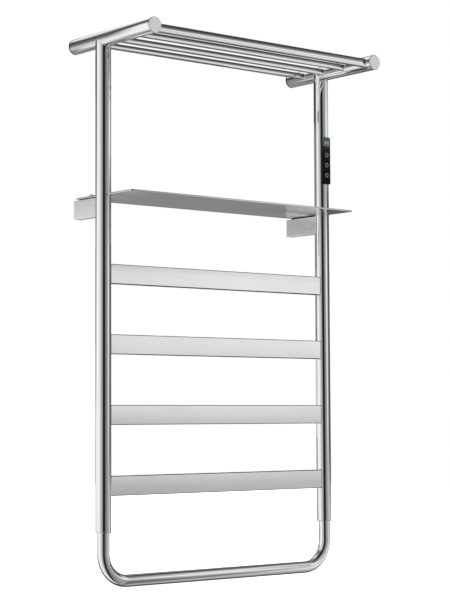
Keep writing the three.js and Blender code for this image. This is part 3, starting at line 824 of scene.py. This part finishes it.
BEND = 50 * MM
REACH = BEND + 2 * MM  # from a leg's axis to the last station on the straight
leg = (rail_high.z, UPRIGHT_END, RAIL_Z + REACH)
stations = [Vector((-UPRIGHT_X, UPRIGHT_Y, z)) for z in leg]
for sign in (-1, 1):
    for step in range(33):
        turn = math.pi / 2 * step / 32
        if sign > 0:
            turn = math.pi / 2 - turn
        spot = Vector((
            sign * (UPRIGHT_X - BEND + BEND * math.cos(turn)),
            UPRIGHT_Y,
            RAIL_Z + BEND - BEND * math.sin(turn),
        ))
        stations.append(spot)
    if sign < 0:
        stations += [Vector((x, UPRIGHT_Y, RAIL_Z)) for x in (REACH - UPRIGHT_X, UPRIGHT_X - REACH)]
stations += [Vector((UPRIGHT_X, UPRIGHT_Y, z)) for z in reversed(leg)]
rail = sweep(stations, RAIL_RADIUS, 96, wall=TUBE_WALL)
make("lower_rail_tube", [rail], steel_x, ["lower_rail"])

LIP = UPRIGHT_END - collar_low.z
lip_radius = UPRIGHT_RADIUS - 0.2 * MM
sleeve = UPRIGHT_RADIUS - TUBE_WALL - 0.3 * MM
bore = RAIL_RADIUS + 0.15 * MM
sleeve_end = collar_high.z - UPRIGHT_END
collar_profile = fillet(
    [
        (bore, -LIP), (lip_radius, -LIP), (lip_radius, -0.25 * MM), (sleeve, -0.25 * MM),
        (sleeve, sleeve_end), (bore, sleeve_end),
    ],
    [0.25 * MM, 0.45 * MM, 0.1 * MM, 0.1 * MM, 0.3 * MM, 0.2 * MM],
    6,
)
for label, sign in SIDES:
    x = sign * UPRIGHT_X
    part = turned(collar_profile, (x, UPRIGHT_Y, UPRIGHT_END), axis="z")
    make(f"{label}_rail_collar_ring", [part], steel_z, [f"{label}_rail_collar"])
    low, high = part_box(f"{label}_rail_lock_screw")
    length = high.y - low.y
    screw = turned(grub(length, 0.4 * MM, 1.8 * MM), (x, low.y, LOCK_Z), 40)
    socket = moved(prism(hexagon(2 * MM), length - 1.6 * MM, length + 1 * MM, along_y), x, low.y, LOCK_Z)
    make(f"{label}_rail_lock_grub", [screw], zinc, [f"{label}_rail_lock_screw"],
         cutters=[socket])

# Wall brackets, wall plates and grub screws

screw_low, screw_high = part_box("right_shelf_screw")
SCREW_Y = (screw_low.y + screw_high.y) / 2
grub_low, grub_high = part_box("right_bracket_grub_screw")
GRUB_Y = (grub_low.y + grub_high.y) / 2
PLATE_SCREW_OFFSET = 9 * MM
BRACKET_WALL = 1.5 * MM
BRACKET_WELD = 0.7 * MM
FAR = 30 * MM  # a cutter's end well outside the bracket
for label, sign in SIDES:
    section = box_outline(BRACKET_WIDTH, 2 * BRACKET_TOP, 1.2 * MM, 8)
    body = shell(
        section,
        BRACKET_WALL,
        lambda u, v: UPRIGHT_Y + saddle(u + BRACKET_X - UPRIGHT_X, UPRIGHT_RADIUS),
        flat(0.0),
        along_y,
        weld=(BRACKET_WELD, 0.0),
        rim=CUT_EDGE,
    )
    holes = [
        drill(2.7 * MM, 5 * MM, FAR, along_z, BRACKET_X, SCREW_Y),
        drill(2.2 * MM, -FAR, -5 * MM, along_z, BRACKET_X, GRUB_Y),
    ]
    make(f"{label}_bracket_box", [moved(body, BRACKET_X)], bracket_steel, [f"{label}_bracket"],
         cutters=holes, mirror=sign < 0)

    x = sign * BRACKET_X
    low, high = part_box(f"{label}_wall_plate")
    size = (high.x - low.x, high.z - low.z)
    block = rounded_plate(size, 1.5 * MM, (low.y, high.y), 0.4 * MM, along_y)
    holes = []
    for way in (-1, 1):
        countersunk = [(0, 30), (2.25, 30), (2.25, 1), (4.2, -1), (0, -1)]
        profile = [(radius * MM, low.y + depth * MM) for radius, depth in countersunk]
        holes.append(turned(profile, (x, 0, way * PLATE_SCREW_OFFSET), 48))
    if sign > 0:
        holes.append(drill(4.1 * MM, -FAR, 10 * MM, along_y, x, count=48))
    holes.append(drill(2.3 * MM, -FAR, grub_high.z + 0.6 * MM, along_z, x, GRUB_Y))
    make(f"{label}_wall_plate_block", [moved(block, x)], zinc, [f"{label}_wall_plate"],
         cutters=holes)

    low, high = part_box(f"{label}_bracket_grub_screw")
    screw = turned(grub(high.z - low.z, 0.3 * MM, 1.5 * MM), (x, GRUB_Y, low.z), 40, "z")
    socket = moved(prism(hexagon(2 * MM), -1 * MM, 1.7 * MM, along_z), x, GRUB_Y, low.z)
    make(f"{label}_bracket_grub", [screw], zinc, [f"{label}_bracket_grub_screw"],
         cutters=[socket])

# Shelf: plate, pads, screws and nuts

shelf_low, shelf_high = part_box("shelf_plate")
NOTCH = UPRIGHT_RADIUS + 0.5 * MM
SHELF_HOLE = 2.8 * MM
HOLE_TOP = 60 * MM
THREAD_OUTER = 2.5 * MM
THREAD_ROOT = 2.15 * MM
THREAD_PITCH = 0.8 * MM
THREAD_TURNS = 14
HEAD_SIDE = 0.9 * MM  # straight side of a screw head, below its dome


def shelf_outline(inset):
    """The plate from above, with a round notch in each side edge where an upright passes."""
    side, front, back = shelf_high.x - inset, shelf_low.y + inset, shelf_high.y - inset
    radius = NOTCH + inset
    half = math.acos(min((side - UPRIGHT_X) / radius, 1.0))
    front_corner, back_corner = 5 * MM - inset, 3 * MM - inset
    right_side = fillet([(0, front), (side, front), (side, 0)], front_corner, 10, closed=False)[1:-1]
    for step in range(49):
        angle = -half - (2 * math.pi - 2 * half) * step / 48
        right_side.append((UPRIGHT_X + radius * math.cos(angle), UPRIGHT_Y + radius * math.sin(angle)))
    right_side += fillet([(side, 0), (side, back), (0, back)], back_corner, 8, closed=False)[1:-1]
    return right_side + [(-x, y) for x, y in reversed(right_side)]


def shelf_pieces():
    plate = soft_prism(shelf_outline, shelf_low.z, shelf_high.z, 0.7 * MM, along_z, 5)
    holes = [
        drill(SHELF_HOLE, 0, HOLE_TOP, along_z, sign * BRACKET_X, SCREW_Y)
        for _, sign in SIDES
    ]
    make("shelf_plate_sheet", [plate], shelf_steel, ["shelf_plate"], cutters=holes)

    for label, sign in SIDES:
        x = sign * BRACKET_X
        low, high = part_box(f"{label}_shelf_pad")
        size = (high.x - low.x, high.y - low.y)
        pad = rounded_plate(size, 2 * MM, (low.z, high.z), 0.3 * MM, along_z)
        body = moved(pad, x, (low.y + high.y) / 2)
        make(f"{label}_shelf_pad_strip", [body], rubber, [f"{label}_shelf_pad"],
             cutters=[drill(SHELF_HOLE, 0, HOLE_TOP, along_z, x, SCREW_Y)])

        low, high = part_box(f"{label}_shelf_screw")
        base = shelf_high.z + 0.02 * MM
        head = (high.x - low.x) / 2
        rise = high.z - base
        dome = [(head, HEAD_SIDE)]
        for step in range(1, 13):
            angle = math.pi / 2 * step / 12
            dome.append((head * math.cos(angle) ** 0.8, HEAD_SIDE + (rise - HEAD_SIDE) * math.sin(angle)))
        shank = low.z - base
        thread = []
        for i in range(THREAD_TURNS + 1):
            z = shank + 0.6 * MM + i * THREAD_PITCH
            if z < -0.6 * MM:
                thread += [(THREAD_OUTER, z), (THREAD_ROOT, z + THREAD_PITCH / 2)]
        profile = [(0, shank), (2 * MM, shank), *thread, (THREAD_OUTER, -0.3 * MM), (THREAD_OUTER, 0)]
        profile += [(head - 0.25 * MM, 0), (head, 0.25 * MM), *dome]
        profile[-1] = (0, profile[-1][1])
        socket = moved(prism(hexagon(3 * MM), rise - 1.9 * MM, rise + 1 * MM, along_z), x, SCREW_Y, base)
        screw = turned(profile, (x, SCREW_Y, base), 72, "z")
        make(f"{label}_shelf_screw_dome", [screw], steel_z, [f"{label}_shelf_screw"],
             cutters=[socket])

        low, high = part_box(f"{label}_shelf_nut")
        across = min(high.x - low.x, high.y - low.y)

        def nut_outline(inset):
            return fillet(hexagon(across - 2 * inset), 0.2 * MM, 3)

        body = soft_prism(nut_outline, low.z, high.z, 0.35 * MM, along_z, 3)
        make(f"{label}_shelf_hex_nut", [moved(body, x, SCREW_Y)], zinc, [f"{label}_shelf_nut"],
             cutters=[drill(2.75 * MM, 0, HOLE_TOP, along_z, x, SCREW_Y)])


shelf_pieces()

# Control unit

KEYS = ("power_key", "timer_key", "temperature_key")


def control_pieces():
    low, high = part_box("control_fascia")
    x = (low.x + high.x) / 2
    z = (low.z + high.z) / 2
    size = (high.x - low.x, high.z - low.z)
    window_low, window_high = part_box("display_window")
    gap = 0.2 * MM
    pane_width, pane_height = window_high.x - window_low.x, window_high.z - window_low.z
    window_z = (window_low.z + window_high.z) / 2
    key_boxes = [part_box(name) for name in KEYS]
    key_places = [(b[0].z + b[1].z) / 2 for b in key_boxes]
    key_radius = 4.6 * MM
    opening = rounded_box(pane_width + 2 * gap, pane_height + 2 * gap, 1.2 * MM, 8)
    cuts = [moved(prism(opening, -0.2, 0, along_y), x, 0, window_z)]
    reach = 20 * MM
    for key_z in key_places:
        near, wide = key_radius + 0.25 * MM, key_radius + 0.75 * MM
        collar = [(0, reach), (near, reach), (near, 0.35 * MM), (wide, -0.15 * MM), (wide, -reach), (0, -reach)]
        cuts.append(turned(collar, (x, low.y, key_z), 96))
    panel = moved(rounded_plate(size, 2.5 * MM, (low.y, high.y), 0.55 * MM, along_y, 10, 6), x, 0, z)
    make("control_fascia_panel", [panel], gloss, ["control_fascia"], cutters=cuts)

    recess = 0.12 * MM
    pane_span = (window_low.y + recess, window_high.y)
    window = rounded_plate((pane_width, pane_height), 1.1 * MM, pane_span, 0.2 * MM, along_y, 8)
    make("display_window_pane", [moved(window, x, 0, window_z)], lens, ["display_window"])
    make("display_digits", digits(x, window_low.y + recess - 0.03 * MM, window_z), digit_glow)

    low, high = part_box("control_gasket")
    section = box_outline(high.x - low.x, high.z - low.z, 2.4 * MM, 10)
    band = shell(section, 1.2 * MM, flat(low.y - 0.2 * MM), flat(high.y + 0.2 * MM), along_y, rim=0.2 * MM)
    make("control_gasket_band", [moved(band, x, 0, z)], rubber, ["control_gasket"])

    low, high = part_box("control_housing")
    outline = box_outline(high.x - low.x, high.z - low.z, 2.5 * MM, 10)
    wall = 1.5 * MM
    back = high.y - low.y
    front_bevel, back_bevel = 0.3 * MM, 0.5 * MM
    levels = ((-front_bevel, 0), (0, front_bevel), (0, back - back_bevel), (-back_bevel, back))
    rings = [[along_y(u, v, low.y + depth) for u, v in outline(offset)] for offset, depth in levels]
    outside = loft(rings, capped=True)
    cavity = prism(outline(-wall), low.y - 5 * MM, low.y + back - wall, along_y)
    bores = [
        drill(radius, -20 * MM, 5 * MM, along_z, bore_x, bore_y, low.z, 32)
        for radius, bore_x, bore_y in cable_entries()
    ]
    make("control_housing_case", [moved(outside, x, 0, z)], plastic, ["control_housing"],
         cutters=[moved(cavity, x, 0, z), *bores])

    cad_flange = 5.7 * MM
    stem = 1.6 * MM
    dish = [(0, 0.32), (1.6, 0.29), (2.8, 0.17), (3.5, 0.05), (3.8, 0.0)]
    flange_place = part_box("control_fascia")[1].y + 0.3 * MM
    for name, (key_low, key_high), key_z in zip(KEYS, key_boxes, key_places):
        front = key_low.y
        depth = key_high.y - key_low.y
        face = [(radius * MM, depth_at * MM) for radius, depth_at in dish]
        rim = fillet([(3.8 * MM, 0), (key_radius, 0), (key_radius, 2 * MM)], 0.4 * MM, 6, closed=False)[1:]
        flange_at = flange_place - front
        profile = face + rim[:-1] + [
            (key_radius, flange_at), (cad_flange, flange_at), (cad_flange, flange_at + 0.8 * MM),
            (stem, flange_at + 0.8 * MM), (stem, depth), (0, depth),
        ]
        button = turned(profile, (x, front, key_z), 96)
        make(f"{name}_button", [button], key_gloss, [name], body=f"{name}_cap")
        ring = ring_band(3.0 * MM, 4.15 * MM)
        make(f"{name}_ring", [moved(ring, x, front, key_z)], ring_print, body=f"{name}_cap")


def cable_entries():
    """Radius, x and y of the holes in the housing's floor: heating cable, return lead and supply lead."""
    return (
        (3.0 * MM, UPRIGHT_X, UPRIGHT_Y),
        (2.55 * MM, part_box("return_lead")[1].x - 1.8 * MM, UPRIGHT_Y),
        (3.25 * MM, BRACKET_X, UPRIGHT_Y + 1 * MM),
    )


def ring_band(inner, outer):
    """A low raised ring of paint on a key, on the slope of its dished face."""
    section = [(inner, 0.09), (inner, 0.02), ((inner + outer) / 2, -0.03), (outer, -0.02), (outer, 0.05)]
    return turned([(radius, depth * MM) for radius, depth in section], (0, 0, 0), 96)


SEGMENTS = {
    "2": "abged",
    "3": "abgcd",
}


def digits(x, y, z):
    """Two seven-segment figures, leaning a little, as thin raised bars."""
    tall, wide, thick = 7.2 * MM, 4.0 * MM, 0.75 * MM
    half = tall / 2
    lean = 0.1
    ends = {
        "a": ((0, half), (wide, half)),
        "b": ((wide, half), (wide, 0)),
        "c": ((wide, 0), (wide, -half)),
        "d": ((0, -half), (wide, -half)),
        "e": ((0, 0), (0, -half)),
        "f": ((0, half), (0, 0)),
        "g": ((0, 0), (wide, 0)),
    }
    parts = []
    trim = 0.5 * MM
    for start, figure in ((-5.0 * MM, "2"), (1.0 * MM, "3")):
        for name in SEGMENTS[figure]:
            (u0, v0), (u1, v1) = ends[name]
            a, b = Vector((u0, v0)), Vector((u1, v1))
            way = (b - a).normalized()
            side = Vector((-way.y, way.x)) * thick / 2
            a += way * trim
            b -= way * trim
            point = way * thick / 2
            bar = [a, a + point + side, b - point + side, b, b - point - side, a + point - side]
            outline = [(start + p.x + p.y * lean, p.y) for p in bar]
            parts.append(moved(prism(outline, 0, 0.05 * MM, along_y), x, y, z + 2.0 * MM))
    return parts


control_pieces()

# CAD nodes that stay, with better materials

KEPT = {
    plastic: ("display_module", "splice_sleeve", *[f"{key}_switch" for key in KEYS]),
    board: ("control_board",),
    relay_case: ("power_relay",),
    silicone: ("heating_cable", "return_lead", "temperature_sensor"),
    rubber: ("supply_lead", "cable_gland"),
    zinc: ("thermal_cutout",),
}
for material, names in KEPT.items():
    for name in names:
        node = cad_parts[name]
        node.data.materials.clear()
        node.data.materials.append(material)

# Floor, studio surround and light

FLOOR_Z = cad_box[0].z - 0.12
FLOOR_RADIUS = 8
TENT_RADIUS = 1.5
TENT_CENTRE = Vector((0.0, -0.1, -0.18))


def soft_step(value, start, end):
    x = min(1.0, max(0.0, (value - start) / (end - start)))
    return x * x * (3 - 2 * x)


def ramp(value, *stops):
    """Straight lines through (position, level) stops, flat beyond both ends."""
    for (start, low), (end, high) in zip(stops, stops[1:]):
        if value <= end:
            return low + (high - low) * min(1.0, max(0.0, (value - start) / (end - start)))
    return stops[-1][1]


def glow(bearing, height):
    """Brightness of the studio surround. bearing is in degrees from the photographer, positive to the right,
    and height is in metres."""
    sweep_left = ramp(bearing, (-150, 0.05), (-128, 0.2), (-113, 0.5), (-103, 0.84), (-96, 1.0), (-64, 0.98),
                      (-38, 0.64), (-18, 0.36), (-5, 0.14), (4, 0.0))
    outer = ramp(height, (-1.1, 0.3), (-0.8, 0.8), (-0.5, 1.0), (-0.3, 0.98), (-0.1, 0.85), (0.08, 0.66),
                 (0.265, 0.34), (0.44, 0.18), (0.6, 0.12), (0.74, 0.05))
    inner = 1 - 0.9 * soft_step(height, 0.6, 1.0)
    near = soft_step(bearing, -95, -84)
    left = sweep_left * (outer * (1 - near) + inner * near)
    low_left = ramp(bearing, (-155, 0.06), (-142, 0.22), (-130, 0.5), (-118, 0.86), (-109, 1.0), (-100, 1.0),
                    (-96, 0.0))
    low_left *= soft_step(-height, 0.2, 0.4) * ramp(height, (-1.1, 0.1), (-0.8, 0.45), (-0.6, 0.9))
    sweep_right = ramp(bearing, (20, 0.02), (29, 0.13), (45, 0.24), (60, 0.38), (70, 0.6), (76, 0.9),
                       (86, 0.88), (92, 0.45), (102, 0.1), (125, 0.05))
    front = ramp(height, (-1.44, 0.16), (-1.02, 0.22), (-0.7, 0.48), (-0.54, 0.62), (-0.36, 0.88),
                 (-0.1, 1.03), (0.06, 1.05), (0.24, 0.6), (0.66, 0.25), (0.97, 0.06))
    even = 0.95 * (1 - soft_step(bearing, 60, 74)) * (1 - soft_step(height, 0.5, 0.9))
    right = sweep_right * max(front, even)
    side = ramp(height, (-1.3, 0.5), (-0.85, 1.0), (-0.6, 0.6), (-0.45, 0.1), (0.2, 0.1), (0.38, 1.1),
                (0.6, 0.5), (0.8, 0.2), (1.1, 0.03))
    side *= ramp(bearing, (82, 0.0), (90, 1.0), (104, 0.9), (128, 0.6), (140, 0.2), (155, 0.03))
    behind = ramp(bearing, (-165, 0.24), (-150, 0.08), (-144, 0.0))
    behind *= ramp(height, (-0.6, 0.3), (-0.3, 1.0), (0.5, 0.5))
    top_left = ramp(bearing, (-152, 1.0), (-133, 0.95), (-117, 0.6), (-107, 0.18), (-101, 0.0))
    top_left *= soft_step(height, 0.78, 0.92)
    behind_right = 0.2 * soft_step(bearing, 145, 165) * ramp(height, (-0.5, 0.1), (0.3, 0.4), (0.6, 1.0))
    dark_card = ramp(bearing, (-6, 0.0), (-2, 1.0), (22, 1.0), (27, 0.0))
    total = 0.03 + max(left, low_left, right, side) + max(behind, top_left, behind_right)
    return max(total * (1 - 0.96 * dark_card), 0.012)


def emitter(name):
    """A material that only glows, and its emission node."""
    material = bpy.data.materials.new(name)
    material.use_nodes = True
    tree = material.node_tree
    tree.nodes.clear()
    output = tree.nodes.new("ShaderNodeOutputMaterial")
    emission = tree.nodes.new("ShaderNodeEmission")
    tree.links.new(emission.outputs["Emission"], output.inputs["Surface"])
    return material, emission


def staged(mesh, material):
    """Puts a mesh of the studio in the scene. Its glow isn't sampled as a lamp."""
    material.cycles.emission_sampling = "NONE"
    mesh.materials.append(material)
    thing = bpy.data.objects.new(mesh.name, mesh)
    bpy.context.scene.collection.objects.link(thing)
    return thing


def surround():
    shape = bmesh.new()
    bmesh.ops.create_uvsphere(shape, u_segments=180, v_segments=120, radius=TENT_RADIUS)
    bmesh.ops.reverse_faces(shape, faces=shape.faces)
    mesh = bpy.data.meshes.new("studio_surround")
    shape.to_mesh(mesh)
    shape.free()
    # The part behind the photographer stands further off, so that it looks the same from all along the rack.
    bulge = 1.4
    tone = mesh.attributes.new("glow", "FLOAT", "POINT")
    to_camera = -Vector((math.sin(HEADING), math.cos(HEADING), 0))
    for i, vertex in enumerate(mesh.vertices):
        out = Vector((vertex.co.x, vertex.co.y, 0))
        bearing = math.degrees(math.atan2(out.dot(level), out.dot(to_camera)))
        tone.data[i].value = glow(bearing, vertex.co.z + TENT_CENTRE.z)
        vertex.co *= 1 + bulge * ramp(bearing, (-40, 0.0), (-15, 1.0), (30, 1.0), (50, 0.0))
    material, emission = emitter("studio_surround")
    tree = material.node_tree
    attribute = tree.nodes.new("ShaderNodeAttribute")
    attribute.attribute_name = "glow"
    tree.links.new(attribute.outputs["Fac"], emission.inputs["Strength"])
    tent = staged(mesh, material)
    tent.location = TENT_CENTRE
    tent.visible_camera = False
    tent.visible_shadow = False


def backdrop():
    """Grey and white cards behind the rack that only its steel sees, from low (x, z) to high (x, z)."""
    card_y = 0.5
    for name, strength, low, high in (
        ("studio_card_left", 0.27, (-0.42, -0.02), (0.05, 0.3)),
        ("studio_card_right", 0.27, (0.05, -0.17), (0.72, 0.3)),
        ("studio_card_low", 0.27, (0.27, -1.3), (0.72, -0.17)),
        ("studio_card_white", 0.8, (-0.12, -0.42), (0.25, -0.22)),
    ):
        mesh = bpy.data.meshes.new(name)
        flat_corners = (low, (high[0], low[1]), high, (low[0], high[1]))
        mesh.from_pydata([(x, card_y, z) for x, z in flat_corners], [], [(0, 1, 2, 3)])
        material, emission = emitter(name)
        emission.inputs["Strength"].default_value = strength
        card = staged(mesh, material)
        card.visible_camera = False
        card.visible_shadow = False
        card.visible_diffuse = False


def floor():
    mesh = bpy.data.meshes.new("floor")
    ring = [(x, y, FLOOR_Z) for x, y in circle(FLOOR_RADIUS, 64)]
    mesh.from_pydata(ring, [], [tuple(range(64))])
    material = bpy.data.materials.new("floor")
    material.use_nodes = True
    shader = material.node_tree.nodes["Principled BSDF"]
    shader.inputs["Base Color"].default_value = (0.9, 0.9, 0.9, 1)
    shader.inputs["Roughness"].default_value = 1.0
    shader.inputs["Specular IOR Level"].default_value = 0.0
    shader.inputs["Emission Color"].default_value = (1, 1, 1, 1)
    shader.inputs["Emission Strength"].default_value = 1.0
    ground = staged(mesh, material)
    ground.visible_glossy = False


def area_light(name, place, target, size, power):
    data = bpy.data.lights.new(name, "AREA")
    data.shape = "RECTANGLE"
    data.size, data.size_y = size
    data.energy = power
    lamp = bpy.data.objects.new(name, data)
    bpy.context.scene.collection.objects.link(lamp)
    lamp.location = place
    lamp.rotation_mode = "QUATERNION"
    lamp.rotation_quaternion = (Vector(target) - Vector(place)).to_track_quat("-Z", "Y")
    lamp.visible_camera = False
    lamp.visible_glossy = False


def sky():
    world = bpy.data.worlds.new("studio")
    bpy.context.scene.world = world
    world.use_nodes = True
    tree = world.node_tree
    tree.nodes.clear()
    output = tree.nodes.new("ShaderNodeOutputWorld")
    white = tree.nodes.new("ShaderNodeBackground")
    white.inputs["Color"].default_value = (1, 1, 1, 1)
    white.inputs["Strength"].default_value = 1.0
    tree.links.new(white.outputs["Background"], output.inputs["Surface"])


surround()
backdrop()
floor()
area_light("key_light", (-1.6, -1.6, 0.9), (0, -0.1, -0.2), (1.0, 1.2), 12)
area_light("fill_light", (1.9, -1.5, 0.3), (0, -0.1, -0.2), (1.2, 1.4), 6)
sky()
bpy.context.scene.view_settings.view_transform = "Standard"
